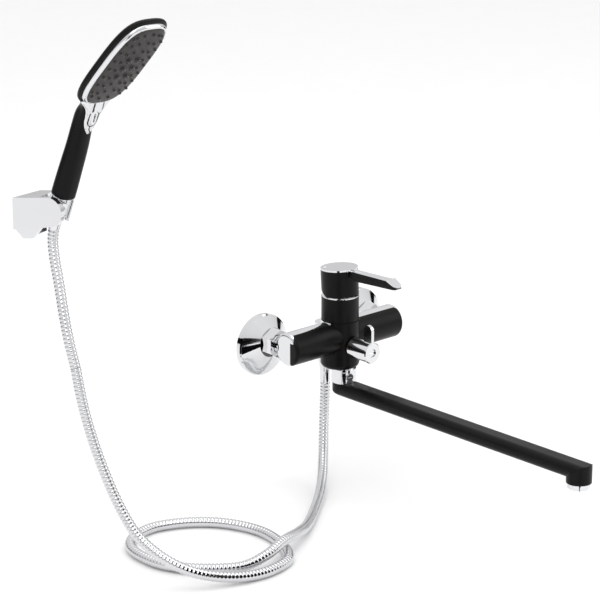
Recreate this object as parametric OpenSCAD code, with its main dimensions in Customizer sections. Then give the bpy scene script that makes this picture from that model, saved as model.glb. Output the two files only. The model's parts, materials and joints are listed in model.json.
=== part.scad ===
// Wall mounted bath faucet with a swing spout, a diverter and a hand shower on a wall bracket.
// Origin: on the wall plane, on the axis of the left inlet. The modules are drawn about the
// middle of the faucet, half an inlet distance to the right of it. +X runs along the wall, -Y points
// out of the wall and +Z is up. All sizes are in millimetres.

/* [Wall inlets] */
// Distance between the hot and the cold inlet
inlet_spacing = 150; // [150:1:153]
// Radius of the G1/2 tail that screws into the wall
tail_r = 10.48; // [10.4:0.02:10.5]
// Height of the faucet body above the inlets, from the eccentric unions
body_lift = 7.5; // [5:0.5:10]
// Outside radius of a wall escutcheon
escutcheon_r = 36.5; // [34:0.5:40]

/* [Body] */
// Distance from the wall to the body axis
body_out = 55; // [54:0.5:57]
// Radius of the two arms
arm_r = 19.5; // [19:0.5:20]
// Half of the body's width
arm_half = 84.5; // [82:0.5:90]
// Radius of the middle drum
drum_r = 22.7; // [22.5:0.1:23.5]
// Height of the seam between the drum and the upper sleeve
seam_z = 27.4; // [27.2:0.1:28]
// Height of the drum's underside
drum_z = -30; // [-31:0.5:-29]

/* [Lever] */
// Radius of the lever's round cap
cap_r = 21.7; // [21.4:0.1:22]
// Height of the cap's lower edge
cap_z = 57.2; // [57.1:0.1:58]
// Height of the cap's top face
cap_top = 89.6; // [88:0.2:90]
// Distance from the cap's axis to the lever's tip
lever_reach = 99; // [90:1:110]
// Width of the lever's arm
lever_w = 13; // [12:0.5:16]

/* [Spout] */
// Distance from the wall to the spout's swing axis
spout_out = 62; // [61.5:0.5:62.5]
// Distance from the swing axis to the outlet
spout_reach = 368; // [250:1:370]
// Width of the spout's flattened section
spout_w = 27; // [26:0.5:28]
// Height of the spout's flattened section
spout_h = 17; // [16:0.5:17.5]

/* [Diverter] */
// Radius of the diverter knob
knob_r = 12.4; // [11.5:0.1:13]
// Height of the knob's axis
knob_z = -2; // [-3:0.5:0]
// Distance from the wall to the knob's front face
knob_front = 110; // [106:0.5:112]

/* [Hand shower] */
// Pivot of the wall bracket's holder
holder_x = -388; // [-400:1:-380]
holder_out = 36; // [35:0.5:40]
holder_z = 228.5; // [220:0.5:240]
// Angle of the bracket's arm from the wall's normal, towards the faucet
arm_yaw = 19; // [15:1:22]
// Lean of the handle out of the wall
lean = 19; // [15:1:20]
// Turn of the hand shower in its holder
turn = -13; // [-20:1:0]
// Bend between the handle and the head
bend = 22; // [18:1:26]
// Width and length of the spray plate
plate_w = 61; // [56:1:66]
plate_l = 113; // [100:1:118]

/* [Hose] */
// Outside diameter of the hose
hose_d = 12; // [11:0.5:13]

/* [Hidden] */
$fn = 64;

// Heights and distances in millimetres, from the middle between the inlets at the wall
half_pitch = inlet_spacing / 2;
part_y = -body_out - 7; // plane where the casting meets the black cover
corner_r = 10; // the cover's upper end corners
wrap_top = -10.5; // the cover wraps the whole drum below this height
cover_t = 1.9; // wall of the cover
nose_r = 17.5; // small end of an escutcheon
outlet_out = 30; // the shower outlet, from the wall
knob_back = 80; // the diverter knob's inner end
ring_z = 55.6; // chrome ring above the sleeve

// The lever and its ball joint
pivot_z = cap_z + 4.3;
dome_r = 19.3;
ball_drop = 11;
lift_angle = 20;
lever_lean = 4;
cap_cut = lift_angle + lever_lean + 3;

// The spout: middle of its tube, top of its post, foot of its outlet
spout_z = -54.9;
spout_top = -47.4;
stub_r = 9.9;
outlet_z = -68;

// The hand shower: length of handle, middle of head, rim around the plate, back plane and neck plane
neck_z = 110;
head_mid = 81;
rim_w = 6.5;
head_back = 6;
neck_y = -8.6;

black = [0.05, 0.05, 0.05];
steel = [0.85, 0.86, 0.88];
brass = [0.78, 0.62, 0.30];
rubber = [0.12, 0.12, 0.13];
white = [0.92, 0.92, 0.90];
slate = [0.25, 0.24, 0.24];

// ---- shared shapes ----

// A cylinder along Y from y0 out to y1, on the axis through x and z
module rod_y(y0, y1, r, x = 0, z = 0, fn = 64) {
  translate([x, y0, z]) rotate([90, 0, 0]) cylinder(r = r, h = y0 - y1, $fn = fn);
}

// A cone along Y from radius ra at y0 to radius rb at y1
module cone_y(y0, y1, ra, rb, x = 0, z = 0) {
  translate([x, y0, z]) rotate([90, 0, 0]) cylinder(r1 = ra, r2 = rb, h = y0 - y1);
}

// A cylinder along X from x0 to x1
module rod_x(x0, x1, r, y = 0, z = 0) {
  translate([x0, y, z]) rotate([0, 90, 0]) cylinder(r = r, h = x1 - x0);
}

// A flat ring standing on z0
module ring(z0, z1, r_in, r_out) {
  translate([0, 0, z0]) difference() {
    cylinder(r = r_out, h = z1 - z0);
    translate([0, 0, -1]) cylinder(r = r_in, h = z1 - z0 + 2);
  }
}

// A rectangle with round corners, centred
module round_rect(w, h, r) {
  square([w - 2 * r, h], center = true);
  square([w, h - 2 * r], center = true);
  for (x = [-1, 1], y = [-1, 1])
    translate([x * (w / 2 - r), y * (h / 2 - r)]) circle(r = r, $fn = 48);
}

module at_drum() { translate([0, -body_out, 0]) children(); }
// The lever stands a little front-up when it is closed
module at_lever() {
  at_drum() translate([0, 0, pivot_z]) rotate([-lever_lean, 0, 0]) translate([0, 0, -pivot_z]) children();
}
module at_spout() { translate([0, -spout_out, 0]) children(); }
module at_holder() { translate([holder_x, -holder_out, holder_z]) rotate([0, 0, arm_yaw]) children(); }
module at_handle() { at_holder() rotate([lean, 0, 0]) rotate([0, 0, turn]) children(); }
module at_head() { at_handle() translate([0, 0, neck_z]) rotate([bend, 0, 0]) children(); }
// A plan drawn in X and Z, extruded from y0 out to y1
module plate_y(y0, y1) { translate([0, y0, 0]) rotate([90, 0, 0]) linear_extrude(y0 - y1) children(); }

// ---- wall unions ----

module eccentric_union(side) {
  color(brass) difference() {
    union() {
      rod_y(16, 0, tail_r, side * half_pitch);
      rod_y(0, -13, 14, side * half_pitch);
      rod_y(-8, -27.3, 13.2, side * half_pitch, body_lift);
    }
    rod_y(17, -8, 7.5, side * half_pitch);
    rod_y(-4, -28, 8, side * half_pitch, body_lift);
  }
}
module eccentric_union_left() { eccentric_union(-1); }
module eccentric_union_right() { eccentric_union(1); }

// Cone shaped cover with a short straight rim, open at the back
module escutcheon(side) {
  r = escutcheon_r;
  color(steel) translate([side * half_pitch, 0, 0]) rotate([90, 0, 0]) difference() {
    union() {
      cylinder(r = r, h = 5.5, $fn = 96);
      translate([0, 0, 5.5]) cylinder(r1 = r, r2 = r - 1.6, h = 1.4, $fn = 96);
      hull() {
        translate([0, 0, 6.9]) cylinder(r = r - 1.6, h = 0.1, $fn = 96);
        translate([0, body_lift - 1, 19.5]) cylinder(r = nose_r, h = 0.4, $fn = 96);
      }
    }
    translate([0, 0, -1]) cylinder(r = r - 1.8, h = 6.2, $fn = 96);
    hull() {
      translate([0, 0, 5.1]) cylinder(r = r - 3.2, h = 0.1, $fn = 96);
      translate([0, body_lift - 1, 16.4]) cylinder(r = nose_r - 2, h = 0.4, $fn = 96);
    }
    translate([0, body_lift, 0]) cylinder(r = 13.4, h = 30);
  }
}
module escutcheon_left() { escutcheon(-1); }
module escutcheon_right() { escutcheon(1); }

module union_nut(side) {
  color(steel) difference() {
    intersection() {
      translate([side * half_pitch, -20.2, body_lift]) rotate([90, 90, 0]) cylinder(r = 17.3, h = 15, $fn = 6);
      cone_y(-8, -36, 28, 15.8, side * half_pitch, body_lift);
    }
    rod_y(-19, -33, 13.3, side * half_pitch, body_lift);
    rod_y(-30, -39, 10.7, side * half_pitch, body_lift);
  }
}
module union_nut_left() { union_nut(-1); }
module union_nut_right() { union_nut(1); }

module union_washers() {
  color(rubber) for (side = [-1, 1]) difference() {
    rod_y(-27.4, -29.4, 12, side * half_pitch, body_lift);
    rod_y(-26, -31, 8, side * half_pitch, body_lift);
  }
}

// ---- body ----

// Where the front cover lies: in front of the parting plane, with its upper outer corners rounded
module cover_zone() {
  at_drum() translate([0, 0, drum_z - 2]) cylinder(r = drum_r + 2, h = wrap_top - drum_z + 2);
  difference() {
    plate_y(part_y, part_y - 100) translate([-arm_half - 10, -60]) square([2 * arm_half + 20, 160]);
    for (side = [-1, 1]) plate_y(part_y + 1, part_y - 101) difference() {
      translate([side * (arm_half + 10) - 10 - corner_r * side, body_lift + arm_r - corner_r])
        square([20, corner_r + 2]);
      translate([side * (arm_half - corner_r), body_lift + arm_r - corner_r]) circle(r = corner_r);
    }
  }
}

// The full outside of the body, before it is parted into casting and cover
module body_form(inset = 0) {
  r = arm_r - inset;
  half = arm_half - inset;
  translate([0, -body_out, body_lift]) rotate([0, 90, 0]) {
    translate([0, 0, -half + 4]) cylinder(r = r, h = 2 * half - 8, $fn = 96);
    for (s = [-1, 1]) rotate([0, s > 0 ? 0 : 180, 0]) translate([0, 0, half - 4])
      rotate_extrude($fn = 96) {
        square([r - 4, 4]);
        intersection() {
          translate([r - 4, 0]) circle(r = 4);
          translate([r - 4, 0]) square([4, 4]);
        }
      }
  }
  at_drum() translate([0, 0, drum_z + inset]) rotate_extrude($fn = 96) {
    translate([0, 6]) square([drum_r - inset, seam_z - drum_z - 6 - inset]);
    square([drum_r - inset - 6, 7]);
    intersection() {
      translate([drum_r - inset - 6, 6]) circle(r = 6);
      square([drum_r, 6]);
    }
  }
}

// Room behind the drum for the nut of the hose
module nut_room() { translate([0, -outlet_out, -60]) cylinder(r = 12.9, h = 56); }

module body_casting() {
  color(steel) difference() {
    union() {
      difference() {
        union() {
          difference() { body_form(); cover_zone(); }
          intersection() { body_form(cover_t + 0.1); cover_zone(); }
        }
        nut_room();
      }
      at_drum() ring(seam_z - 1, ring_z - 0.2, 17.6, 19);
      for (side = [-1, 1]) {
        rod_y(-29.5, -32.5, 12.4, side * half_pitch, body_lift);
        rod_y(-32, -42, 10.3, side * half_pitch, body_lift);
      }
      translate([0, -outlet_out, -4]) cylinder(r = 12.5, h = 22);
      translate([0, -outlet_out, -14]) cylinder(r = 10.4, h = 12);
      translate([-12.5, -body_out, -4]) cube([25, body_out - outlet_out, 22]);
      at_spout() translate([0, 0, -42]) cylinder(r = 12.6, h = 14);
    }
    at_drum() translate([0, 0, 20]) cylinder(r = 17.6, h = 40);
    for (side = [-1, 1]) {
      rod_y(-28, -body_out, 7, side * half_pitch, body_lift);
      rod_x(side > 0 ? 8 : -half_pitch, side > 0 ? half_pitch : -8, 6, -body_out, body_lift);
      translate([side * 9, -body_out, body_lift]) cylinder(r = 3.5, h = 14);
    }
    translate([0, -body_out + 9, 0]) cylinder(r = 3.5, h = 22);
    rod_y(-44, -90, 9.1, 0, knob_z);
    rod_y(-outlet_out, -60, 4, 0, 4);
    translate([0, -outlet_out, -20]) cylinder(r = 7.6, h = 22);
    at_spout() translate([0, 0, -43]) cylinder(r = stub_r + 0.05, h = 12);
    at_spout() translate([0, 0, -36]) cylinder(r = 7, h = 32);
  }
}

module body_front_cover() {
  color(black) difference() {
    intersection() { body_form(); cover_zone(); }
    body_form(cover_t);
    nut_room();
    at_drum() translate([0, 0, seam_z - 3]) cylinder(r = drum_r - cover_t, h = 6);
    rod_y(-60, -90, 9.4, 0, knob_z);
    at_spout() translate([0, 0, drum_z - 1]) cylinder(r = 12.9, h = 12);
  }
}

module cartridge_sleeve() {
  color(black) at_drum() ring(seam_z + 0.4, ring_z - 0.1, 19.2, 21.8);
}

// Chrome ring and ball shaped band that the lever tilts over
module trim_dome() {
  color(steel) at_drum() {
    ring(ring_z, ring_z + 1, 18, 21.4);
    translate([0, 0, pivot_z]) difference() {
      sphere(r = dome_r, $fn = 96);
      sphere(r = dome_r - 1.3, $fn = 96);
      translate([0, 0, -30 + ring_z - pivot_z]) cube([60, 60, 60], center = true);
      translate([0, 0, 33]) cube([60, 60, 60], center = true);
    }
  }
}

// ---- cartridge ----

module cartridge_housing() {
  color(white) at_drum() difference() {
    union() {
      translate([0, 0, 22]) cylinder(r = 17.4, h = 28);
      translate([0, 0, 49]) cylinder(r = 14, h = 8);
    }
    translate([0, 0, 43]) cylinder(r = 14.6, h = 6.6);
    translate([0, 0, 43]) cylinder(r = 12.5, h = 20);
    for (side = [-1, 1]) translate([side * 9, 0, 20]) cylinder(r = 3.5, h = 30);
    translate([0, 9, 20]) cylinder(r = 3.5, h = 30);
  }
}

module cartridge_seals() {
  color(rubber) at_drum() {
    for (side = [-1, 1]) translate([side * 9, 0, 0]) ring(20.1, 21.9, 3.6, 5);
    translate([0, 9, 0]) ring(20.1, 21.9, 3.6, 5);
  }
}

module cartridge_nut() {
  color(brass) at_drum() difference() {
    translate([0, 0, 50.1]) cylinder(r = 17.55, h = 5.2);
    translate([0, 0, 49]) cylinder(r = 14.3, h = 10);
    for (a = [0 : 90 : 270]) rotate([0, 0, a]) translate([14, -2, 53]) cube([6, 4, 4]);
  }
}

module ceramic_disc_fixed() {
  color(white) at_drum() difference() {
    translate([0, 0, 43]) cylinder(r = 14.5, h = 3.4);
    for (side = [-1, 1]) translate([side * 9, 0, 42]) cylinder(r = 3, h = 6);
    translate([0, 9, 42]) cylinder(r = 3, h = 6);
  }
}

module ceramic_disc_moving() {
  color(white) at_drum() translate([0, -ball_drop * sin(lever_lean), 0]) difference() {
    translate([0, 0, 46.5]) cylinder(r = 9, h = 2.8);
    translate([0, 0, 47.6]) cylinder(r = 3.4, h = 3);
  }
}

module cartridge_carrier() {
  color(white) at_drum() difference() {
    translate([0, 0, 51.7]) cylinder(r = 12.42, h = 14);
    translate([-4.2, -9.6, 50]) cube([8.4, 19.2, 20]);
    rod_x(-13, 13, 1.53, 0, pivot_z);
  }
}

module carrier_pin() {
  color(steel) at_drum() rod_x(-12, 12, 1.5, 0, pivot_z);
}

module lever_spindle() {
  color(brass) at_lever() difference() {
    union() {
      translate([-4, -4, pivot_z - 6]) cube([8, 8, 28]);
      translate([0, 0, pivot_z - ball_drop]) cylinder(r = 2.2, h = 6);
      translate([0, 0, pivot_z - ball_drop]) sphere(r = 2.7);
    }
    rod_x(-6, 6, 1.56, 0, pivot_z);
  }
}

// ---- lever ----

lever_t = 11.6;

// Side view of the lever's arm, outwards from the cap's axis, with the tip cut on a slant
module lever_side(top_drop) {
  polygon([
    [10, -lever_t], [36, -lever_t], [lever_reach - 2, -lever_t - 0.6],
    [lever_reach, -lever_t + 1.4], [lever_reach - 13, -top_drop - 2], [24, -top_drop], [10, -top_drop]
  ]);
}

// The lever's arm seen from above: a little wider at its root, with a round tip
module lever_plan() {
  tip = lever_w / 2;
  polygon([
    [-tip - 2.5, -8], [-tip, -34], [-tip, tip - lever_reach],
    [tip, tip - lever_reach], [tip, -34], [tip + 2.5, -8]
  ]);
  translate([0, tip - lever_reach]) circle(r = tip);
}

module arm_blade(top_drop) {
  difference() {
    intersection() {
      translate([20, 0, cap_top]) rotate([90, 0, -90]) linear_extrude(40) lever_side(top_drop);
      translate([0, 0, cap_top - 30]) linear_extrude(40) lever_plan();
    }
    arm_bevels();
  }
}

strip_w = 5.4;
bevel_drop = 8;

// Slopes along both sides of the arm, from the narrow top strip down; they stop short of the tip
module arm_bevels() {
  half = strip_w / 2;
  for (side = [0, 1]) mirror([side, 0, 0]) translate([0, 0, cap_top]) rotate([90, 0, 0])
    translate([0, 0, cap_r + 1]) linear_extrude(lever_reach - cap_r - 15)
      polygon([[half, 0.1], [half, -1], [half + 4.2, -bevel_drop], [half + 12, -bevel_drop], [half + 12, 0.1]]);
}

// Everything behind the cap's axis below the slanted rear cut
module rear_cut() {
  translate([-40, 0, cap_z]) rotate([cap_cut, 0, 0]) translate([0, 0, -60]) cube([80, 60, 60]);
}

module lever_handle() {
  color(black) at_lever() difference() {
    union() {
      translate([0, 0, cap_z]) cylinder(r = cap_r, h = cap_top - 2 - cap_z, $fn = 96);
      difference() {
        arm_blade(2);
        translate([0, 0, cap_z]) cylinder(r = cap_r - 1, h = 60);
      }
    }
    translate([0, 0, cap_z - 1]) cylinder(r = cap_r - 1.8, h = 75 - cap_z + 1, $fn = 96);
    rear_cut();
    translate([-4.05, -4.05, 70]) cube([8.1, 8.1, 14.2]);
    rotate([-90, 0, 0]) translate([0, -79.5, 0]) cylinder(r = 2.55, h = 30);
  }
}

module lever_top_plate() {
  color(steel) at_lever() difference() {
    union() {
      translate([0, 0, cap_top - 1.9]) cylinder(r = cap_r, h = 1.9, $fn = 96);
      difference() {
        arm_blade(0);
        translate([20, 0, cap_top]) rotate([90, 0, -90]) linear_extrude(40) lever_side(1.95);
        translate([0, 0, cap_top - 30]) cylinder(r = cap_r - 1, h = 28.1);
        translate([-20, -cap_r - 8, cap_top - 30]) cube([40, 40, 28.1]);
      }
    }
    translate([-12, 11, cap_top - 0.8]) cylinder(r = 2.1, h = 3);
  }
}

module lever_grub_screw() {
  color(steel) at_lever() difference() {
    rotate([-90, 0, 0]) translate([0, -79.5, 4.2]) cylinder(r = 2.5, h = 9);
    rotate([-90, 0, 0]) translate([0, -79.5, 10]) cylinder(r = 1.4, h = 5, $fn = 6);
  }
}

module lever_index_button() {
  color(white) at_lever() translate([-12, 11, cap_top - 0.75]) cylinder(r = 2, h = 1);
}

// ---- diverter ----

module diverter_cartridge() {
  color(brass) difference() {
    rod_y(-44.3, -78.6, 9, 0, knob_z);
    rod_y(-60, -80, 4.06, 0, knob_z);
    rod_y(-48, -56, 12, 0, knob_z - 14);
  }
}

module diverter_spindle() {
  color(brass) rod_y(-60.5, -104, 4, 0, knob_z);
}

module diverter_knob() {
  color(steel) difference() {
    union() {
      rod_y(-knob_back, -knob_front + 1, knob_r, 0, knob_z);
      cone_y(-knob_front + 1, -knob_front, knob_r, knob_r - 1, 0, knob_z);
      translate([-2, -knob_front + 0.3, knob_z]) cube([4, 12.7, 26]);
      translate([0, 0, knob_z + 26]) rotate([0, 90, 0]) translate([0, -knob_front + 6.65, -2])
        cylinder(r = 6.35, h = 4);
    }
    rod_y(-knob_back + 1, -knob_back - 7, 10, 0, knob_z);
    rod_y(-knob_back, -104.2, 4.05, 0, knob_z);
    rod_y(-104, -knob_front - 1, 5, 0, knob_z);
  }
}

module diverter_knob_screw() {
  color(steel) difference() {
    rod_y(-104.4, -108.4, 4.8, 0, knob_z);
    translate([-4, -109, knob_z - 0.5]) cube([8, 1.4, 1]);
  }
}

// ---- spout ----

module spout_nut() {
  color(steel) at_spout() difference() {
    translate([0, 0, -47]) cylinder(r = 14.3, h = 16.6, $fn = 96);
    translate([0, 0, -45]) cylinder(r = 12.75, h = 20);
    translate([0, 0, -48]) cylinder(r = stub_r + 0.3, h = 8);
    rotate([0, 0, -16]) rod_y(-8, -16, 2.1, 0, -38.5);
    rotate([0, 0, -16]) rod_y(-13.4, -16, 4.6, 0, -38.5);
    rotate([0, 0, -42]) translate([-2.6, -16, -33.6]) cube([5.2, 4, 4]);
  }
}

module spout_lock_screw() {
  color(steel) at_spout() rotate([0, 0, -16]) {
    rod_y(-12.8, -14, 2, 0, -38.5);
    difference() {
      rod_y(-13.5, -15.6, 4.3, 0, -38.5);
      translate([-3, -16, -39]) cube([6, 1.2, 1]);
    }
  }
}

module spout_section(inset = 0) {
  round_rect(spout_w - 2 * inset, spout_h - 2 * inset, 8 - inset);
}

turret_r = 14.2;
spout_end = spout_reach + turret_r;

// The spout's tube seen from above, round at its far end
module spout_plan() {
  translate([-spout_w / 2, -spout_reach]) square([spout_w, spout_reach + 20]);
  translate([0, -spout_reach]) circle(r = turret_r, $fn = 96);
}

// Round post under the spout nut, with a rounded foot
module elbow() {
  r = spout_w / 2;
  foot = spout_z - spout_h / 2 + 1.5;
  rotate_extrude($fn = 96) {
    translate([0, foot + 5]) square([r, spout_top - foot - 5]);
    translate([0, foot]) square([r - 5, 6]);
    intersection() {
      translate([r - 5, foot + 5]) circle(r = 5);
      translate([0, foot]) square([r, 5]);
    }
  }
}

module spout_tube() {
  color(black) at_spout() difference() {
    union() {
      difference() {
        union() {
          intersection() {
            translate([0, 0, spout_z]) plate_y(0, -spout_end) spout_section();
            translate([0, 0, -80]) linear_extrude(60) spout_plan();
          }
          elbow();
          translate([0, -spout_reach, outlet_z]) cylinder(r = turret_r, h = spout_z - outlet_z);
        }
        translate([0, 0, spout_top]) cylinder(r = 14.9, h = 10);
      }
      translate([0, 0, spout_top - 1]) cylinder(r = stub_r, h = 13.4);
    }
    translate([0, 0, spout_z]) plate_y(2, -spout_reach - 4) spout_section(2.6);
    translate([0, 0, spout_z]) cylinder(r = 7, h = 40);
    for (z = [-41, -38]) ring(z, z + 1.6, 8.8, 12);
    ring(-44.8, -42.2, 8.8, 12);
    translate([0, -spout_reach, outlet_z - 1]) cylinder(r = 11.6, h = 10);
  }
}

module spout_o_rings() {
  color(rubber) at_spout() for (z = [-41, -38]) ring(z + 0.1, z + 1.5, 8.85, 9.85);
}

module spout_slip_ring() {
  color(white) at_spout() ring(-44.7, -42.3, 8.9, 12.4);
}

module at_outlet() { translate([0, -spout_out - spout_reach, 0]) children(); }

module aerator_housing() {
  color(steel) at_outlet() difference() {
    union() {
      translate([0, 0, outlet_z - 6.5]) cylinder(r = 12.4, h = 6.4);
      translate([0, 0, outlet_z - 1]) cylinder(r = 11.5, h = 8);
    }
    translate([0, 0, outlet_z - 7]) cylinder(r = 9.6, h = 20);
    for (a = [22.5 : 45 : 337.5]) rotate([0, 0, a]) translate([11.7, -6, outlet_z - 7]) cube([4, 12, 5]);
  }
}

module aerator_insert() {
  color(white) at_outlet() difference() {
    translate([0, 0, outlet_z - 5.6]) cylinder(r = 9.5, h = 12);
    for (a = [0 : 45 : 315], r = [3.4, 6.8]) rotate([0, 0, a]) translate([r, 0, outlet_z - 7])
      cylinder(r = 0.9, h = 20, $fn = 16);
  }
}

module aerator_washer() {
  color(rubber) at_outlet() ring(outlet_z + 7.1, outlet_z + 8.8, 8, 11.4);
}

// ---- shower outlet and hose ----

module at_shower_outlet() { translate([0, -outlet_out, 0]) children(); }

module check_valve() {
  color(white) at_shower_outlet() difference() {
    translate([0, 0, -13]) cylinder(r = 7.5, h = 11);
    translate([0, 0, -14]) cylinder(r = 4, h = 9);
    for (a = [0 : 90 : 270]) rotate([0, 0, a]) translate([4.6, 0, -6]) cylinder(r = 1.1, h = 6, $fn = 16);
  }
}

module hose_nut() {
  color(steel) at_shower_outlet() difference() {
    union() {
      translate([0, 0, -17]) cylinder(r = 12.4, h = 12.6);
      translate([0, 0, -33]) cylinder(r1 = 7.4, r2 = 12.4, h = 16);
      translate([0, 0, -42]) cylinder(r1 = 6.4, r2 = 7.4, h = 9);
      translate([0, 0, -56]) cylinder(r = 6.2, h = 14.5);
    }
    translate([0, 0, -17]) cylinder(r = 10.5, h = 14);
    translate([0, 0, -60]) cylinder(r = 4, h = 50);
  }
}

module hose_washer() {
  color(rubber) at_shower_outlet() ring(-16.8, -14.6, 5, 10.3);
}

// Points along the hose's middle, from the faucet's outlet to the bracket
floor_z = -165;
lower_route = [
  [0, -30, -56], [-1, -30, -85], [-4, -32, -112], [-14, -42, -140], [-35, -63, -158],
  [-70, -95, floor_z], [-110, -128, floor_z], [-145, -155, -162], [-178, -176, -155], [-208, -189, -151],
  [-242, -199, -155], [-272, -194, -162], [-298, -171, floor_z], [-319, -147, floor_z], [-331, -115, floor_z],
  [-327, -72, floor_z], [-304, -45, floor_z], [-266, -37, floor_z], [-226, -54, floor_z], [-199, -85, floor_z],
  [-187, -128, floor_z], [-196, -172, floor_z], [-218, -206, floor_z], [-252, -217, floor_z], [-284, -214, -164],
  [-315, -203, -159], [-340, -187, -151], [-357, -162, -139], [-367, -133, -121], [-373, -112, -95],
  [-380, -96, -60], [-387, -83, -20], [-392, -73, 20], [-395, -66, 60]
];
upper_route = [
  [-395.1, -65.8, 60.3], [-398, -59, 90], [-397, -50, 118], [-394, -40, 145], [-392, -31, 170],
  [-391, -27, 190], [-390.4, -28.9, 206.7]
];

function mid_of(p, i) =
  let (n = len(p), a = p[max(i - 1, 0)], b = p[i], c = p[i + 1], d = p[min(i + 2, n - 1)])
  (-a + 9 * b + 9 * c - d) / 16;
function smooth(p) = [
  for (i = [0 : len(p) - 1]) each (i < len(p) - 1 ? [p[i], mid_of(p, i)] : [p[i]])
];
function unit(v) = v / norm(v);
function heading(p, i) = unit(p[min(i + 1, len(p) - 1)] - p[max(i - 1, 0)]);
// Each ring's first axis is the one before it, turned as little as the route allows
function turned(axis, t) = unit(axis - (axis * t) * t);
function axes(p, heads, i = 0, found = []) =
  i == len(p) ? found
  : let (last = i == 0 ? [1, 0.2, 0] : found[i - 1])
    axes(p, heads, i + 1, concat(found, [turned(last, heads[i])]));

// A round tube swept along a route, closed at both ends
module swept_tube(route, r, sides, first_heading, last_heading) {
  n = len(route);
  heads = [for (i = [0 : n - 1]) i == 0 ? first_heading : i == n - 1 ? last_heading : heading(route, i)];
  side_axes = axes(route, heads);
  points = [
    for (i = [0 : n - 1], k = [0 : sides - 1])
      let (u = side_axes[i], v = cross(heads[i], u), a = 360 * k / sides)
      route[i] + r * (cos(a) * u + sin(a) * v)
  ];
  walls = [
    for (i = [0 : n - 2], k = [0 : sides - 1])
      let (k2 = (k + 1) % sides)
      [i * sides + k, (i + 1) * sides + k, (i + 1) * sides + k2, i * sides + k2]
  ];
  ends = [[for (k = [0 : sides - 1]) k], [for (k = [sides - 1 : -1 : 0]) (n - 1) * sides + k]];
  polyhedron(points = points, faces = concat(walls, ends), convexity = 8);
}

handle_dir = [
  sin(lean) * sin(arm_yaw), -sin(lean) * cos(arm_yaw), cos(lean)
];
join_dir = unit(upper_route[1] - lower_route[len(lower_route) - 2]);

module shower_hose() {
  color(steel) swept_tube(smooth(lower_route), hose_d / 2, 8, [0, 0, -1], join_dir);
}

module hose_top_length() {
  color(steel) swept_tube(smooth(upper_route), hose_d / 2, 8, join_dir, handle_dir);
}

// ---- hand shower ----

cone_top = 17;
cone_foot = -12;
handle_foot = 17.5;
handle_r0 = 12.1;
handle_r1 = 10.4;

module hose_ferrule() {
  color(steel) at_handle() difference() {
    union() {
      translate([0, 0, -23]) cylinder(r = 6.9, h = 11.8);
      translate([0, 0, -11.3]) cylinder(r = 5, h = 18);
    }
    translate([0, 0, -18]) cylinder(r = 3.6, h = 40);
  }
}

module cone_nut() {
  color(steel) at_handle() difference() {
    translate([0, 0, cone_foot + 1]) cylinder(r1 = 8.5, r2 = 10.6, h = cone_top - cone_foot - 1);
    translate([0, 0, cone_foot]) cylinder(r = 5.06, h = 40);
    translate([0, 0, 7]) cylinder(r = 8.6, h = 20);
  }
}

module cone_washer() {
  color(rubber) at_handle() ring(7.1, 8.9, 4.5, 8.4);
}

module handset_connector() {
  color(brass) at_handle() difference() {
    union() {
      translate([0, 0, 9.1]) cylinder(r = 8.5, h = 10);
      translate([0, 0, 18]) cylinder(r = 7, h = 12);
    }
    translate([0, 0, 8]) cylinder(r = 4.5, h = 30);
  }
}

module handset_water_tube() {
  color(white) at_handle() ring(30.1, neck_z - 14, 4.6, 6.8);
}

// Outline of the head, centred on the spray plate
module head_plan(grow) { round_rect(plate_w + 2 * grow, plate_l + 2 * grow, 24 + grow); }

// How far in each step of the head's rounded back starts
dome_steps = [1.2, 3, 6, 11];

module handset_shell() {
  back = head_back;
  color(black) difference() {
    union() {
      at_handle() translate([0, 0, handle_foot])
        cylinder(r1 = handle_r0, r2 = handle_r1, h = neck_z - handle_foot);
      hull() {
        at_handle() translate([0, 0, neck_z - 16]) cylinder(r = 10.6, h = 8, $fn = 32);
        at_head() translate([0, 0, head_mid - plate_l / 2 + 14])
          plate_y(back + 2, back - 8) circle(r = 22, $fn = 32);
      }
      at_head() translate([0, 0, head_mid]) {
        plate_y(back + 1.6, back - 8) head_plan(rim_w);
        for (step = [1 : 4]) plate_y(back + 1.6 + step * 1.1, back) head_plan(rim_w - dome_steps[step - 1]);
      }
    }
    at_head() translate([0, 0, head_mid]) plate_y(back + 2, back - 12) head_plan(3);
    at_head() plate_y(-1.9, -30) translate([-40, 17]) square([80, 60]);
    at_neck() plate_y(neck_y, -40) translate([-30, -15]) square([60, 40]);
    at_handle() translate([0, 0, 8]) cylinder(r = 8.7, h = 24);
    at_handle() translate([0, 0, 8]) cylinder(r = 7.1, h = neck_z - 20);
    at_neck() plate_y(neck_y + 5.5, neck_y - 2) button_plan(0.3);
  }
}

module at_neck() { at_handle() translate([0, 0, neck_z]) children(); }
// The oval of the push button
module button_plan(grow) {
  for (z = [-3.5, 3.5]) translate([0, z + 2]) circle(r = 5.8 + grow, $fn = 48);
  translate([0, 2]) square([2 * (5.8 + grow), 7], center = true);
}

module handset_front_trim() {
  color(steel) difference() {
    at_head() translate([0, 0, head_mid]) plate_y(3.9, -2.2) head_plan(2.9);
    at_head() translate([0, 0, head_mid]) plate_y(5, -5) head_plan(0.15);
  }
  color(steel) at_neck() difference() {
    plate_y(neck_y - 0.05, neck_y - 2.3) hull() {
      translate([0, -9]) circle(r = 3, $fn = 32);
      translate([0, 9]) circle(r = 11, $fn = 32);
    }
    plate_y(neck_y + 1, neck_y - 4) button_plan(0.3);
  }
}

module spray_plate() {
  color(slate) at_head() translate([0, 0, head_mid]) difference() {
    plate_y(3.8, -4.8) head_plan(0);
    plate_y(5, 0) head_plan(-6);
  }
}

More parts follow.
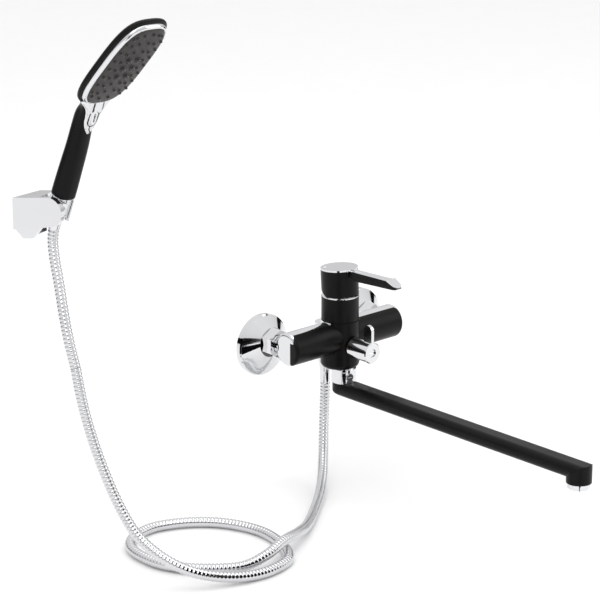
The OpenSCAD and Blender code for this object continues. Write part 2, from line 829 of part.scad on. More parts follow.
function fine_spots() = concat(
  [for (ring = [0, 1], s = [-1, 1], k = [-4 : 4]) [s * (24 - 7 * ring), k * 9.6]],
  [for (ring = [0, 1], e = [-1, 1], k = [-1.5 : 1.5]) [k * (8 - 2 * ring), e * (49 - 7 * ring)]]
);

module fine_nozzles() {
  color(slate) at_head() translate([0, 0, head_mid])
    for (p = fine_spots()) translate([p[0], 0, p[1]]) rod_y(-4.85, -6.6, 1.3, 0, 0, 16);
}

module massage_nozzles() {
  color(slate) at_head() translate([0, 0, head_mid])
    for (x = [-5, 5], z = [-14, 0, 14]) translate([x, 0, z]) rod_y(-4.85, -7.4, 2.4, 0, 0, 24);
}

module spray_button() {
  color(steel) at_neck() plate_y(neck_y + 2.2, neck_y - 3.4) button_plan(0);
}

module button_spring() {
  color(steel) at_neck() translate([0, 0, 2]) rotate([90, 0, 0]) ring(-neck_y - 5.4, -neck_y - 2.3, 2.6, 4.2);
}

// ---- wall bracket ----

cheek_x = -20.7;
cheek_t = 6;
bracket_r = 16;

// Side view of the bracket, outwards from the wall towards the pivot
module bracket_profile(front) {
  difference() {
    union() {
      polygon([
        [-60, 8.5], [0, bracket_r], [0, -bracket_r], [-10, -18], [-21, -31],
        [-33, -32.5], [-42, -24], [-60, -24]
      ]);
      circle(r = bracket_r, $fn = 64);
    }
    translate([-front, -60]) square([100, 120]);
  }
}

module bracket_side(x0, x1, front) {
  translate([x0, 0, 0]) rotate([90, 0, -90]) mirror([0, 0, 1]) linear_extrude(x1 - x0)
    bracket_profile(front);
}

plate_x = holder_x - 16;
plate_z = holder_z - 9;

module behind_wall() { translate([holder_x - 200, 0, holder_z - 200]) cube([400, 300, 400]); }

module bracket_body() {
  color(steel) difference() {
    at_holder() union() {
      bracket_side(cheek_x, cheek_x + cheek_t, -40);
      bracket_side(cheek_x, 14, 26);
      intersection() {
        bracket_side(cheek_x, 14, 13.5);
        translate([-40, -20, 10]) cube([80, 80, 20]);
      }
    }
    behind_wall();
    at_holder() rod_x(cheek_x + 2, cheek_x + 20, 2.5);
    translate([plate_x, 0, plate_z]) plate_y(1, -7.2) square([24, 24], center = true);
    translate([plate_x, -3.6, plate_z - 40]) cylinder(r = 2.1, h = 40);
  }
}

module bracket_wall_plate() {
  color(steel) difference() {
    translate([plate_x, 0, plate_z]) plate_y(0, -7) square([23.6, 23.6], center = true);
    for (z = [-7, 7]) rod_y(1, -9, 2.2, plate_x, plate_z + z);
    translate([plate_x, -3.6, plate_z - 40]) cylinder(r = 2.1, h = 31);
  }
}

// Holds the bracket down on its wall plate, from below
module bracket_grub_screw() {
  color(steel) translate([plate_x, -3.6, plate_z - 18.2]) cylinder(r = 2, h = 9);
}

module holder_clip() {
  color(steel) at_holder() difference() {
    rotate([lean, 0, 0]) {
      translate([0, 0, -12.5]) cylinder(r = 13, h = 24.5);
      rotate([-lean, 0, 0]) rod_x(-14.2, -9, 13.8);
    }
    rotate([lean, 0, 0]) {
      translate([0, 0, cone_foot + 1 - 2]) cylinder(r1 = 8.5 + 0.16, r2 = 10.6 + 0.32, h = 27);
      translate([-6.8, -30, -20]) cube([13.6, 30, 50]);
      translate([0, 0, -20]) cylinder(r = 7.3, h = 20);
    }
    rod_x(-20, 0, 2.55);
    rod_x(-12.4, 0, 4.4);
  }
}

module holder_pivot_screw() {
  color(steel) at_holder() {
    rod_x(cheek_x + 2.1, -12, 2.48);
    rod_x(-12.3, -11, 4.2);
  }
}

module friction_washer() {
  color(rubber) at_holder() difference() {
    rod_x(-14.65, -14.25, 9);
    rod_x(-16, -13, 2.6);
  }
}

// Moves a piece from the middle of the faucet to the frame on the left inlet
module placed() { translate([half_pitch, 0, 0]) children(); }

placed() eccentric_union_left();
placed() eccentric_union_right();
placed() escutcheon_left();
placed() escutcheon_right();
placed() union_nut_left();
placed() union_nut_right();
placed() union_washers();
placed() body_casting();
placed() body_front_cover();
placed() cartridge_sleeve();
placed() trim_dome();
placed() cartridge_housing();
placed() cartridge_seals();
placed() cartridge_nut();
placed() ceramic_disc_fixed();
placed() ceramic_disc_moving();
placed() cartridge_carrier();
placed() carrier_pin();
placed() lever_spindle();
placed() lever_handle();
placed() lever_top_plate();
placed() lever_grub_screw();
placed() lever_index_button();
placed() diverter_cartridge();
placed() diverter_spindle();
placed() diverter_knob();
placed() diverter_knob_screw();
placed() spout_nut();
placed() spout_lock_screw();
placed() spout_tube();
placed() spout_o_rings();
placed() spout_slip_ring();
placed() aerator_housing();
placed() aerator_insert();
placed() aerator_washer();
placed() check_valve();
placed() hose_nut();
placed() hose_washer();
placed() shower_hose();
placed() hose_top_length();
placed() hose_ferrule();
placed() cone_nut();
placed() cone_washer();
placed() handset_shell();
placed() handset_connector();
placed() handset_water_tube();
placed() handset_front_trim();
placed() spray_plate();
placed() fine_nozzles();
placed() massage_nozzles();
placed() spray_button();
placed() button_spring();
placed() bracket_body();
placed() bracket_wall_plate();
placed() bracket_grub_screw();
placed() holder_clip();
placed() holder_pivot_screw();
placed() friction_washer();
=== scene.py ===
import json
import math

import bmesh
import bpy
from mathutils import Matrix, Vector


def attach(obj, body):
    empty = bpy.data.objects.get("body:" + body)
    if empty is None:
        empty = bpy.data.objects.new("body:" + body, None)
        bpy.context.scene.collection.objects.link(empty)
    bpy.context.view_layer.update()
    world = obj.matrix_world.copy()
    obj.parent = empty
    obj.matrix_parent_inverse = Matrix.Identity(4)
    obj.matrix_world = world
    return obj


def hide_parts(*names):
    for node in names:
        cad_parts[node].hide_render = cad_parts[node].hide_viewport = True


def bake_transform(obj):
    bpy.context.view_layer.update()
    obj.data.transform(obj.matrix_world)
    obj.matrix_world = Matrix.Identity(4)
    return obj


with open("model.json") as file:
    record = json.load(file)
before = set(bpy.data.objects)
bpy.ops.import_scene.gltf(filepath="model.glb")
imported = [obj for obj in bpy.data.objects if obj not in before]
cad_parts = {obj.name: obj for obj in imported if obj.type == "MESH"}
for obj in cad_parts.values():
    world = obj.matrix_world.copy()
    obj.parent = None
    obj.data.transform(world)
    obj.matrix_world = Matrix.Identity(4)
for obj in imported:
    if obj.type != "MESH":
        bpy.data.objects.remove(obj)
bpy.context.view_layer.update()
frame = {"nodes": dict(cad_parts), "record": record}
nodes = frame["nodes"]

MM = 0.001
MIDDLE_X = 75  # the middle of the faucet, from the frame's origin on the left inlet


def mm(x, y, z):
    """A place in millimetres, with x measured from the middle of the faucet."""
    return Vector((x + MIDDLE_X, y, z)) * MM


# ---- camera ----

CAMERA_AZIMUTH = math.radians(-42.4)
CAMERA_ELEVATION = math.radians(17.4)
CAMERA_DISTANCE = 3.287
LENS_MM = 168.0
SENSOR_MM = 36.0
AIM = mm(0.25, 14.0, 33.6)


def make_camera():
    data = bpy.data.cameras.new("camera")
    data.lens = LENS_MM
    data.sensor_width = SENSOR_MM
    data.clip_start = 0.05
    data.clip_end = 60.0
    camera = bpy.data.objects.new("camera", data)
    back = Vector((
        math.sin(CAMERA_AZIMUTH) * math.cos(CAMERA_ELEVATION),
        -math.cos(CAMERA_AZIMUTH) * math.cos(CAMERA_ELEVATION),
        math.sin(CAMERA_ELEVATION),
    ))
    camera.location = AIM + back * CAMERA_DISTANCE
    camera.rotation_mode = "QUATERNION"
    camera.rotation_quaternion = (-back).to_track_quat("-Z", "Y")
    bpy.context.scene.collection.objects.link(camera)
    bpy.context.scene.camera = camera


make_camera()


# ---- materials ----

PATCH_SCALE = 22.0
PATCH_LOW = 0.3  # the noise level at and below which a patch has its darkest colour
PATCH_HIGH = 0.7  # the noise level at and above which it has its lightest
BUMP_DEPTH = 0.0004
SMOOTHEST = 0.02  # no finish is given a roughness below this


def noise(tree, where, scale, detail):
    texture = tree.nodes.new("ShaderNodeTexNoise")
    texture.inputs["Scale"].default_value = scale
    texture.inputs["Detail"].default_value = detail
    tree.links.new(where.outputs["Object"], texture.inputs["Vector"])
    return texture.outputs["Fac"]


def surface(name, color, metallic, roughness, bump=0.02, scale=900.0, spread=0.06, tint=0.05, shine=0.5):
    """A finish with fine bump, slight changes of colour and patches of different roughness."""
    material = bpy.data.materials.new(name)
    material.use_nodes = True
    tree = material.node_tree
    shader = tree.nodes["Principled BSDF"]
    shader.inputs["Metallic"].default_value = metallic
    shader.inputs["Specular IOR Level"].default_value = shine
    where = tree.nodes.new("ShaderNodeTexCoord")
    grain = noise(tree, where, scale, detail=3.0)
    patches = noise(tree, where, PATCH_SCALE, detail=4.0)
    height = tree.nodes.new("ShaderNodeBump")
    height.inputs["Strength"].default_value = bump
    height.inputs["Distance"].default_value = BUMP_DEPTH
    tree.links.new(grain, height.inputs["Height"])
    tree.links.new(height.outputs["Normal"], shader.inputs["Normal"])
    rough = tree.nodes.new("ShaderNodeMapRange")
    rough.inputs["From Min"].default_value = PATCH_LOW
    rough.inputs["From Max"].default_value = PATCH_HIGH
    rough.inputs["To Min"].default_value = max(SMOOTHEST, roughness - spread)
    rough.inputs["To Max"].default_value = roughness + spread
    tree.links.new(patches, rough.inputs["Value"])
    tree.links.new(rough.outputs["Result"], shader.inputs["Roughness"])
    ramp = tree.nodes.new("ShaderNodeValToRGB")
    dark, light = ramp.color_ramp.elements
    dark.position = PATCH_LOW
    dark.color = [c * (1 - tint) for c in color] + [1]
    light.position = PATCH_HIGH
    light.color = [min(1, c * (1 + tint)) for c in color] + [1]
    tree.links.new(patches, ramp.inputs["Fac"])
    tree.links.new(ramp.outputs["Color"], shader.inputs["Base Color"])
    return material


chrome = surface("chrome", (0.72, 0.725, 0.74), 1.0, 0.06, bump=0.012, spread=0.025, tint=0.015)
hose_chrome = surface("hose_chrome", (0.66, 0.665, 0.68), 1.0, 0.13, bump=0.03, spread=0.05)
black_satin = surface("black_satin", (0.004, 0.0036, 0.0036), 0.0, 0.34, bump=0.05, scale=1600, tint=0.2,
                      shine=0.13)
slate = surface("slate_plate", (0.032, 0.027, 0.026), 0.0, 0.42, bump=0.06, scale=1300, tint=0.12,
                shine=0.3)
gloss_black = surface("gloss_black", (0.008, 0.008, 0.008), 0.0, 0.14, tint=0.1)
brass = surface("machined_brass", (0.76, 0.56, 0.26), 1.0, 0.26, bump=0.08, tint=0.08)
steel = surface("machined_steel", (0.58, 0.59, 0.61), 1.0, 0.24, bump=0.08, tint=0.06)
white_plastic = surface("white_plastic", (0.80, 0.80, 0.77), 0.0, 0.42, bump=0.05, tint=0.03)
# Black rubber, also used for the ring of painted gap shade around the spray button
rubber = surface("black_rubber_and_gap_shade", (0.018, 0.018, 0.018), 0.0, 0.65, bump=0.12, tint=0.2)

FINISHES = {
    "chrome": chrome, "chrome_plastic": chrome, "black_metal": black_satin,
    "black_plastic": black_satin, "brass": brass, "steel": steel, "rubber": rubber,
    "white_plastic": white_plastic, "slate_plastic": slate,
}


def finish_cad_nodes():
    for entry in frame["record"]["subparts"]:
        piece = nodes[entry["node"]]
        piece.data.materials.clear()
        piece.data.materials.append(FINISHES[entry["material_slot"]])


finish_cad_nodes()


# ---- building helpers ----

def add_object(name, mesh, material):
    mesh.materials.append(material)
    mesh.polygons.foreach_set("use_smooth", [True] * len(mesh.polygons))
    piece = bpy.data.objects.new(name, mesh)
    bpy.context.scene.collection.objects.link(piece)
    return piece


def skin(name, verts, faces, material):
    """A new piece whose faces are all turned the same way, outwards."""
    mesh = bpy.data.meshes.new(name)
    mesh.from_pydata(verts, [], faces)
    work = bmesh.new()
    work.from_mesh(mesh)
    bmesh.ops.recalc_face_normals(work, faces=work.faces)
    work.to_mesh(mesh)
    work.free()
    return add_object(name, mesh, material)


def band(low, high, count):
    """Faces between two rings of points that start at low and at high in the list of points."""
    faces = []
    for k in range(count):
        k2 = (k + 1) % count
        faces.append((low + k, low + k2, high + k2, high + k))
    return faces


def lid(first, count):
    """One face over the ring of points that starts at first."""
    return tuple(range(first, first + count))


def loft(name, rings, material, caps=True):
    """A skin over rings of points that all have the same count."""
    count = len(rings[0])
    verts = [p for ring in rings for p in ring]
    faces = []
    for i in range(len(rings) - 1):
        faces += band(i * count, (i + 1) * count, count)
    if caps:
        faces += [lid(0, count), lid((len(rings) - 1) * count, count)]
    return skin(name, verts, faces, material)


def circle(count):
    """The cosine and sine of evenly spaced angles in one turn."""
    angles = [2 * math.pi * k / count for k in range(count)]
    return [(math.cos(a), math.sin(a)) for a in angles]


def smooth_rows(rows, steps):
    """Rows of numbers joined by one smooth curve that passes through all of them."""
    out = []
    for i in range(len(rows) - 1):
        before, start = rows[max(i - 1, 0)], rows[i]
        end, after = rows[i + 1], rows[min(i + 2, len(rows) - 1)]
        for k in range(steps):
            t = k / steps
            out.append([
                0.5 * (2 * b + (c - a) * t + (2 * a - 5 * b + 4 * c - d) * t ** 2
                       + (3 * b - a - 3 * c + d) * t ** 3)
                for a, b, c, d in zip(before, start, end, after)
            ])
    out.append(rows[-1])
    return out


# ---- hose ----

HOSE_R = 6.0 * MM
HOSE_SIDES = 20
RING_PITCH = 4.3 * MM
RING_PROFILE = (0.86, 0.965, 1.0, 1.0, 0.965)  # the radius along one ring, as a share of HOSE_R
ROUTE_STEPS = 14
FLOOR_Z = -165  # the height of the hose's middle where it lies on the floor

# The route repeats part.scad's points
LOWER_ROUTE = [
    (0, -30, -56), (-1, -30, -85), (-4, -32, -112), (-14, -42, -140),
    (-35, -63, -158), (-70, -95, FLOOR_Z), (-110, -128, FLOOR_Z), (-145, -155, -162),
    (-178, -176, -155), (-208, -189, -151), (-242, -199, -155), (-272, -194, -162),
    (-298, -171, FLOOR_Z), (-319, -147, FLOOR_Z), (-331, -115, FLOOR_Z), (-327, -72, FLOOR_Z),
    (-304, -45, FLOOR_Z), (-266, -37, FLOOR_Z), (-226, -54, FLOOR_Z), (-199, -85, FLOOR_Z),
    (-187, -128, FLOOR_Z), (-196, -172, FLOOR_Z), (-218, -206, FLOOR_Z), (-252, -217, FLOOR_Z),
    (-284, -214, -164), (-315, -203, -159), (-340, -187, -151), (-357, -162, -139),
    (-367, -133, -121), (-373, -112, -95), (-380, -96, -60), (-387, -83, -20),
    (-392, -73, 20), (-395, -66, 60),
]
UPPER_ROUTE = [
    (-395.1, -65.8, 60.3), (-398, -59, 90), (-397, -50, 118), (-394, -40, 145), (-392, -31, 170),
    (-391, -27, 190), (-390.4, -28.9, 206.7),
]


def smooth_route(points):
    """The route's points joined by one smooth curve that never goes below FLOOR_Z."""
    return [mm(x, y, max(z, FLOOR_Z)) for x, y, z in smooth_rows(points, ROUTE_STEPS)]


def resample(points, step):
    """Points at even distances of about step along a path, and the path's length."""
    lengths = [0.0]
    for a, b in zip(points, points[1:]):
        lengths.append(lengths[-1] + (b - a).length)
    count = max(2, round(lengths[-1] / step))
    out, j = [], 0
    for i in range(count + 1):
        target = lengths[-1] * i / count
        while j < len(points) - 2 and lengths[j + 1] < target:
            j += 1
        span = max(lengths[j + 1] - lengths[j], 1e-9)
        out.append(points[j].lerp(points[j + 1], (target - lengths[j]) / span))
    return out, lengths[-1]


def ringed_hose(name, points, material):
    """A metal hose whose skin is a row of rounded rings, with its path and its length."""
    per_ring = len(RING_PROFILE)
    path, length = resample(smooth_route(points), RING_PITCH / per_ring)
    rings, axis = [], Vector((1, 0.2, 0))
    for i, p in enumerate(path):
        heading = (path[min(i + 1, len(path) - 1)] - path[max(i - 1, 0)]).normalized()
        axis = (axis - heading * axis.dot(heading)).normalized()
        other = heading.cross(axis)
        r = HOSE_R * RING_PROFILE[i % per_ring]
        rings.append([p + axis * (r * cos) + other * (r * sin) for cos, sin in circle(HOSE_SIDES)])
    return loft(name, rings, material), path, length


def make_hose():
    lower, lower_path, lower_length = ringed_hose("shower_hose_skin", LOWER_ROUTE, hose_chrome)
    upper, upper_path, upper_length = ringed_hose("hose_top_skin", UPPER_ROUTE, hose_chrome)
    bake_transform(lower)
    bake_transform(upper)
    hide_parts("shower_hose")
    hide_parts("hose_top_length")


make_hose()


# ---- hand shower ----

HOLDER = (-388, -36, 228.5)  # where the handle's axis starts, in the holder
ARM_YAW = 19  # the bracket's arm, turned about the vertical
LEAN = 19  # the handle, leaning out from the wall
TURN = -13  # the handle, turned about its own axis
BEND = 22  # the head, bent further out than the handle
BEND_Z = 110  # how far up the handle the bend is

HEAD_MID = 81  # how far along the head from the bend its middle is
PLATE_HALF_W = 30.5
PLATE_HALF_L = 56.5
PLATE_SQUARENESS = 3.2
PLATE_EDGE = -3.6
PLATE_CROWN = 2.6
PLATE_STEPS = 12
PLATE_INSET = -0.7
OUTLINE_POINTS = 180
PLATE_RIM = ((-0.25, -3.2), (-0.1, -2.6), (-0.1, 2.5))  # growth and depth
SHELL_HALF_W = 36.8
SHELL_HALF_L = 62.7
SHELL_SQUARENESS = 3.1
SHELL_FRONT = 4.4
SHELL_BACK = 8.4
SHELL_MIDDLE = 4
SHELL_EDGE_POWER = 7
SECTION_SQUARENESS = 2.5
SECTION_POINTS = 56
SECTION_STEPS = 5
# How near the head's end its width and its depth are worked out, so that neither shrinks to nothing
WIDTH_END = 0.9995
DEPTH_END = 0.999

# Tilt, height above the bend, middle depth, half width, front, back, squareness
HANDLE_SECTIONS = [
    (0, 17.5 - BEND_Z, 0, 11.2, 11.0, 11.2, 2.5), (0, 18.7 - BEND_Z, 0, 12.1, 11.9, 12.1, 2.6),
    (0, -60, 0, 11.6, 11.2, 11.6, 2.7), (0, -30, 0, 10.9, 10.2, 11.0, 2.7),
    (4, -12, 0, 10.6, 9.4, 10.6, 2.6), (11, 0, 0.4, 11.2, 8.8, 10.6, 2.5),
    (BEND, 10, 1.2, 12.6, 6.4, 9.8, 2.5), (BEND, 17, 2.4, 15.4, 4.9, 9.2, 2.5),
    (BEND, 22, 3.4, 20.5, 4.3, 8.7, 2.5),
]
# Heights above the bend of the head's sections
HEAD_HEIGHTS = (28, 38, 55, 81, 107, 122, 132, 138, 141.5, 143.2, 143.65)

# Growth of the plate's outline, and depth
BEZEL_PROFILE = (
    (-1.2, 3.5), (-1.0, -2.0), (-0.4, -2.9), (0.3, -3.1), (1.2, -2.8), (2.1, -1.9), (2.8, -0.7),
    (3.0, 0.4), (3.0, 3.5), (-1.2, 3.5),
)

# Height above the bend, and half width
NECK_WIDTHS = (
    (-17, 0.8), (-14, 3.6), (-9, 6.8), (-2, 9.2), (5, 10.2), (11, 12.2), (16, 16.0), (20, 20.5), (23, 24.0),
)
NECK_FOOT = -17
NECK_FRONT = -9.6
NECK_SLOPE = 0.05
NECK_TIP = -13  # below this height the plate's front curls back into the handle
NECK_TIP_SLOPE = 0.12
NECK_FLARE = 8  # above this height the front is flatter
NECK_THICKNESS = 3.2
NECK_CROWN = 0.012
NECK_FLARE_CROWN = 0.6 * NECK_CROWN
NECK_COLUMNS = 17
NECK_STEPS = 4

NOZZLE_PITCH = 12.0
# Distance from the middle line, shift along it, and rows in pitches from the head's middle
FINE_COLUMNS = (
    (24.6, 0, range(-3, 4)), (15.6, -2, range(-3, 5)), (6.6, 0, (-4, -3, -2, 2, 3, 4)),
    (20.2, 0, (-3.6, 3.7)),
)
LARGE_SPOTS = [(x, HEAD_MID + z) for x in (-6.4, 6.4) for z in (-12.5, 0, 12.5)]
# Radius, and height above the plate
FINE_PROFILE = ((2.1, -0.3), (2.0, 0.15), (1.6, 0.6), (1.45, 1.35), (1.15, 1.75), (0.5, 1.85))
LARGE_PROFILE = ((3.7, -0.3), (3.6, 0.3), (3.0, 0.9), (2.8, 1.7), (2.3, 2.3), (1.4, 2.3), (1.2, 1.7))
NOZZLE_SIDES = 20

BUTTON_R = 5.8
BUTTON_STRAIGHT = 3.5
BUTTON_MIDDLE = 2
OVAL_POINTS = 64
# Growth of the button's outline, and depth
BUTTON_PROFILE = ((-0.3, -10.2), (-0.3, -10.7), (-0.7, -11.1), (-2.0, -11.4), (-3.6, -11.3), (-5.0, -11.1))
# The black ring around the button is painted shade standing in for the gap between the button and the neck;
# growth of its outline, and depth
GAP_SHADE_PROFILE = ((0.0, -9.0), (0.0, -10.72), (0.55, -10.72), (0.55, -9.0), (0.0, -9.0))


def turn_about(axis, degrees):
    return Matrix.Rotation(math.radians(degrees), 4, axis)


HANDLE = (Matrix.Translation(mm(*HOLDER)) @ turn_about("Z", ARM_YAW) @ turn_about("X", LEAN)
          @ turn_about("Z", TURN))
NECK = HANDLE @ Matrix.Translation(Vector((0, 0, BEND_Z)) * MM)
HEAD = NECK @ turn_about("X", BEND)


def local(matrix, x, y, z):
    return matrix @ (Vector((x, y, z)) * MM)


def signed_power(value, exponent):
    return math.copysign(abs(value) ** exponent, value)


def head_half_width(z):
    t = min(abs(z - HEAD_MID) / SHELL_HALF_L, WIDTH_END)
    return SHELL_HALF_W * (1 - t ** SHELL_SQUARENESS) ** (1 / SHELL_SQUARENESS)


def head_section(z):
    """The head's cross-section, thinner towards its ends."""
    t = min(abs(z - HEAD_MID) / SHELL_HALF_L, DEPTH_END)
    depth = math.sqrt(1 - t ** SHELL_EDGE_POWER)
    front, back = SHELL_FRONT * depth, SHELL_BACK * depth
    return BEND, z, SHELL_MIDDLE, head_half_width(z), front, back, SECTION_SQUARENESS


def shell_ring(tilt, along, middle, half_w, front, back, squareness):
    """One cross-section of the shell, in the plane that leans by tilt at the bend."""
    plane = NECK @ turn_about("X", tilt)
    ring = []
    for cos, sin in circle(SECTION_POINTS):
        across = half_w * signed_power(cos, 2 / squareness)
        depth = signed_power(sin, 2 / squareness)
        ring.append(local(plane, across, middle + depth * (back if depth > 0 else front), along))
    return ring


def make_handset_shell():
    sections = HANDLE_SECTIONS + [head_section(z) for z in HEAD_HEIGHTS]
    rings = [shell_ring(*section) for section in smooth_rows(sections, SECTION_STEPS)]
    shell = loft("handset_shell_skin", rings, black_satin)
    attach(shell, "handset")
    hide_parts("handset_shell")


def plate_outline(grow):
    """The spray plate's rounded outline, grown outwards."""
    bend = 2 / PLATE_SQUARENESS
    return [
        ((PLATE_HALF_W + grow) * signed_power(cos, bend),
         HEAD_MID + (PLATE_HALF_L + grow) * signed_power(sin, bend))
        for cos, sin in circle(OUTLINE_POINTS)
    ]


def plate_front(x, z):
    """The depth of the crowned spray plate's front at a place on it."""
    u = abs(x) / PLATE_HALF_W
    v = abs(z - HEAD_MID) / PLATE_HALF_L
    k = (u ** PLATE_SQUARENESS + v ** PLATE_SQUARENESS) ** (1 / PLATE_SQUARENESS)
    return PLATE_EDGE - PLATE_CROWN * max(0.0, 1 - k * k)


def make_neck_plate():
    rows = []
    for z, half in smooth_rows(NECK_WIDTHS, NECK_STEPS):
        front = NECK_FRONT - NECK_SLOPE * (z - NECK_FOOT) + NECK_TIP_SLOPE * max(0.0, NECK_TIP - z)
        crown = NECK_CROWN if z < NECK_FLARE else NECK_FLARE_CROWN
        across = [half * (2 * k / (NECK_COLUMNS - 1) - 1) for k in range(NECK_COLUMNS)]
        row = [local(NECK, x, front + crown * x * x, z) for x in across]
        row += [local(NECK, x, front + NECK_THICKNESS, z) for x in reversed(across)]
        rows.append(row)
    return loft("chrome_neck_plate", rows, chrome)


def make_bezel():
    rings = [[local(HEAD, x, y, z) for x, z in plate_outline(grow)] for grow, y in BEZEL_PROFILE]
    bezel = loft("chrome_bezel", rings, chrome, caps=False)
    neck = make_neck_plate()
    neck.parent = bezel
    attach(bezel, "handset")
    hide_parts("handset_front_trim")


def make_spray_plate():
    outline = plate_outline(PLATE_INSET)
    count = len(outline)
    verts = [local(HEAD, 0, plate_front(0, HEAD_MID), HEAD_MID)]
    for i in range(1, PLATE_STEPS + 1):
        for x, z in outline:
            px, pz = x * i / PLATE_STEPS, HEAD_MID + (z - HEAD_MID) * i / PLATE_STEPS
            verts.append(local(HEAD, px, plate_front(px, pz), pz))
    for grow, y in PLATE_RIM:
        verts.extend(local(HEAD, x, y, z) for x, z in plate_outline(grow))
    faces = [(0, 1 + k, 1 + (k + 1) % count) for k in range(count)]
    last = 1 + (PLATE_STEPS + len(PLATE_RIM) - 1) * count
    for first in range(1, last, count):
        faces += band(first, first + count, count)
    faces.append(lid(last, count))
    plate = skin("spray_plate_skin", verts, faces, slate)
    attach(plate, "handset")
    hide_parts("spray_plate")


def nozzle_mesh(name, spots, profile):
    """Round nozzles standing on the spray plate, one at each spot."""
    verts, faces = [], []
    for x, z in spots:
        base, first = plate_front(x, z), len(verts)
        for radius, height in profile:
            for cos, sin in circle(NOZZLE_SIDES):
                verts.append(local(HEAD, x + radius * cos, base - height, z + radius * sin))
        last = len(verts) - NOZZLE_SIDES
        for low in range(first, last, NOZZLE_SIDES):
            faces += band(low, low + NOZZLE_SIDES, NOZZLE_SIDES)
        faces += [lid(first, NOZZLE_SIDES), lid(last, NOZZLE_SIDES)]
    return skin(name, verts, faces, gloss_black)


def make_nozzles():
    fine_spots = [
        (side * x, HEAD_MID + row * NOZZLE_PITCH + shift)
        for side in (-1, 1) for x, shift, rows in FINE_COLUMNS for row in rows
    ]
    small = nozzle_mesh("fine_nozzle_tips", fine_spots, FINE_PROFILE)
    large = nozzle_mesh("massage_nozzle_tips", LARGE_SPOTS, LARGE_PROFILE)
    for piece, node in ((small, "fine_nozzles"), (large, "massage_nozzles")):
        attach(piece, "handset")
        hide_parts(node)


def oval(grow, y):
    """The push button's oval, grown outwards, at a depth on the neck."""
    points = []
    for cos, sin in circle(OVAL_POINTS):
        end = BUTTON_MIDDLE + (BUTTON_STRAIGHT if sin >= 0 else -BUTTON_STRAIGHT)
        points.append(local(NECK, (BUTTON_R + grow) * cos, y, end + (BUTTON_R + grow) * sin))
    return points


def make_button():
    cap = loft("spray_button_cap", [oval(grow, y) for grow, y in BUTTON_PROFILE], chrome)
    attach(cap, "spray_push")
    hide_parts("spray_button")
    # A black ring around the button: painted shade standing in for the gap between the button and the neck
    # plate
    gap_shade = loft("button_gap_shade_ring", [oval(grow, y) for grow, y in GAP_SHADE_PROFILE], rubber, caps=False)
    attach(gap_shade, "handset")


make_handset_shell()
make_bezel()
make_spray_plate()
make_nozzles()
make_button()


# ---- softened edges on the CAD pieces ----

# Bevel widths in millimetres
EDGE_SOFTENED = {
    "body_front_cover": 0.35, "body_casting": 0.3, "cartridge_sleeve": 0.35, "lever_handle": 0.6,
    "lever_top_plate": 0.4, "diverter_knob": 0.6, "spout_nut": 0.4, "union_nut_left": 0.5,
    "union_nut_right": 0.5, "escutcheon_left": 0.4, "escutcheon_right": 0.4, "spout_tube": 0.4,
    "aerator_housing": 0.4, "hose_nut": 0.3, "hose_ferrule": 0.5, "cone_nut": 0.3,
    "bracket_body": 0.6, "holder_clip": 0.8, "spout_lock_screw": 0.3, "trim_dome": 0.15,
}
EDGE_ANGLE = math.radians(35)


def soften_edges():
    for name, width in EDGE_SOFTENED.items():
        bevel = nodes[name].modifiers.new("soft_edges", "BEVEL")
        bevel.width = width * MM
        bevel.segments = 2
        bevel.limit_method = "ANGLE"
        bevel.angle_limit = EDGE_ANGLE


soften_edges()


# ---- stage ----

FLOOR_HALF = 9.0
FLOOR_GAP = 0.0003

# Name, place, aim, size and watts, in metres
LIGHTS = (
    ("key", (-2.0, -1.6, 2.2), (0, 0, 0), (1.6, 1.6), 20),
    ("fill", (1.9, -1.6, 1.2), (0, 0, 0), (1.2, 1.8), 10),
    ("top", (0, -0.2, 2.6), (-0.1, 0, 0), (2.4, 2.0), 16),
)

# Name, azimuth in degrees, then distance, width, bottom and top in metres.
# Azimuth 0 is in front of the wall and 90 is to the right.
DARK_CARDS = (
    ("flag_low", -31, 0.36, 0.26, -0.170, -0.045),
    ("flag_right", 90, 1.5, 0.8, -0.16, 0.30),
    ("flag_back_left", -138, 1.5, 0.9, 0.02, 0.40),
    ("flag_spout", -8, 0.63, 0.10, -0.170, -0.115),
    ("flag_camera", -44, 1.15, 0.34, -0.16, 0.30),
)

# Height of the direction looked in, and brightness
WORLD_STEPS = ((0.0, 0.55), (0.10, 0.62), (0.25, 0.84), (0.50, 0.92), (1.0, 1.0))


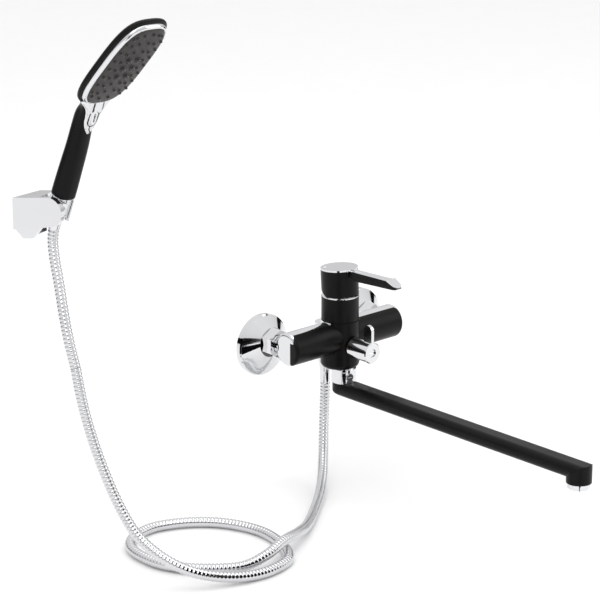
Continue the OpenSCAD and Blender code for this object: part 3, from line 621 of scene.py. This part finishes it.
def make_stage():
    low = FLOOR_Z * MM - HOSE_R - FLOOR_GAP
    mesh = bpy.data.meshes.new("floor")
    corners = [(x * FLOOR_HALF, y * FLOOR_HALF, low) for x, y in ((-1, -1), (1, -1), (1, 1), (-1, 1))]
    mesh.from_pydata(corners, [], [(0, 1, 2, 3)])
    pale = surface("pale_floor", (0.93, 0.93, 0.93), 0.0, 0.8, bump=0.0, tint=0.004)
    floor = add_object("floor", mesh, pale)


def area_light(name, place, aim, size, watts):
    data = bpy.data.lights.new(name, "AREA")
    data.shape = "RECTANGLE"
    data.size, data.size_y = size
    data.energy = watts
    light = bpy.data.objects.new(name, data)
    light.location = place
    light.rotation_mode = "QUATERNION"
    light.rotation_quaternion = (Vector(aim) - Vector(place)).to_track_quat("-Z", "Y")
    bpy.context.scene.collection.objects.link(light)


def make_world():
    """A white studio, dimmer at the horizon and below it."""
    world = bpy.data.worlds.new("studio")
    bpy.context.scene.world = world
    world.use_nodes = True
    tree = world.node_tree
    shade = tree.nodes["Background"]
    where = tree.nodes.new("ShaderNodeTexCoord")
    split = tree.nodes.new("ShaderNodeSeparateXYZ")
    ramp = tree.nodes.new("ShaderNodeValToRGB")
    tree.links.new(where.outputs["Generated"], split.inputs["Vector"])
    tree.links.new(split.outputs["Z"], ramp.inputs["Fac"])
    tree.links.new(ramp.outputs["Color"], shade.inputs["Color"])
    steps = ramp.color_ramp.elements
    while len(steps) < len(WORLD_STEPS):
        steps.new(0.5)
    for step, (position, level) in zip(steps, WORLD_STEPS):
        step.position = position
        step.color = (level, level, level, 1)
    shade.inputs["Strength"].default_value = 1.0


def dark_card(name, azimuth, distance, width, bottom, top):
    """A black studio flag that shows only in reflections."""
    a = math.radians(azimuth)
    out = Vector((math.sin(a), -math.cos(a), 0))
    side = Vector((math.cos(a), math.sin(a), 0))
    corners = [out * distance + side * (s * width / 2) + Vector((0, 0, z))
               for s, z in ((-1, bottom), (1, bottom), (1, top), (-1, top))]
    mesh = bpy.data.meshes.new(name)
    mesh.from_pydata(corners, [], [(0, 1, 2, 3)])
    card = add_object(name, mesh, surface(name + "_cloth", (0.004, 0.004, 0.004), 0.0, 0.9, shine=0.0))
    card.visible_camera = False
    card.visible_diffuse = False
    card.visible_shadow = False


bpy.context.scene.view_settings.view_transform = "Standard"
make_stage()
make_world()
for card_row in DARK_CARDS:
    dark_card(*card_row)
for light_row in LIGHTS:
    area_light(*light_row)
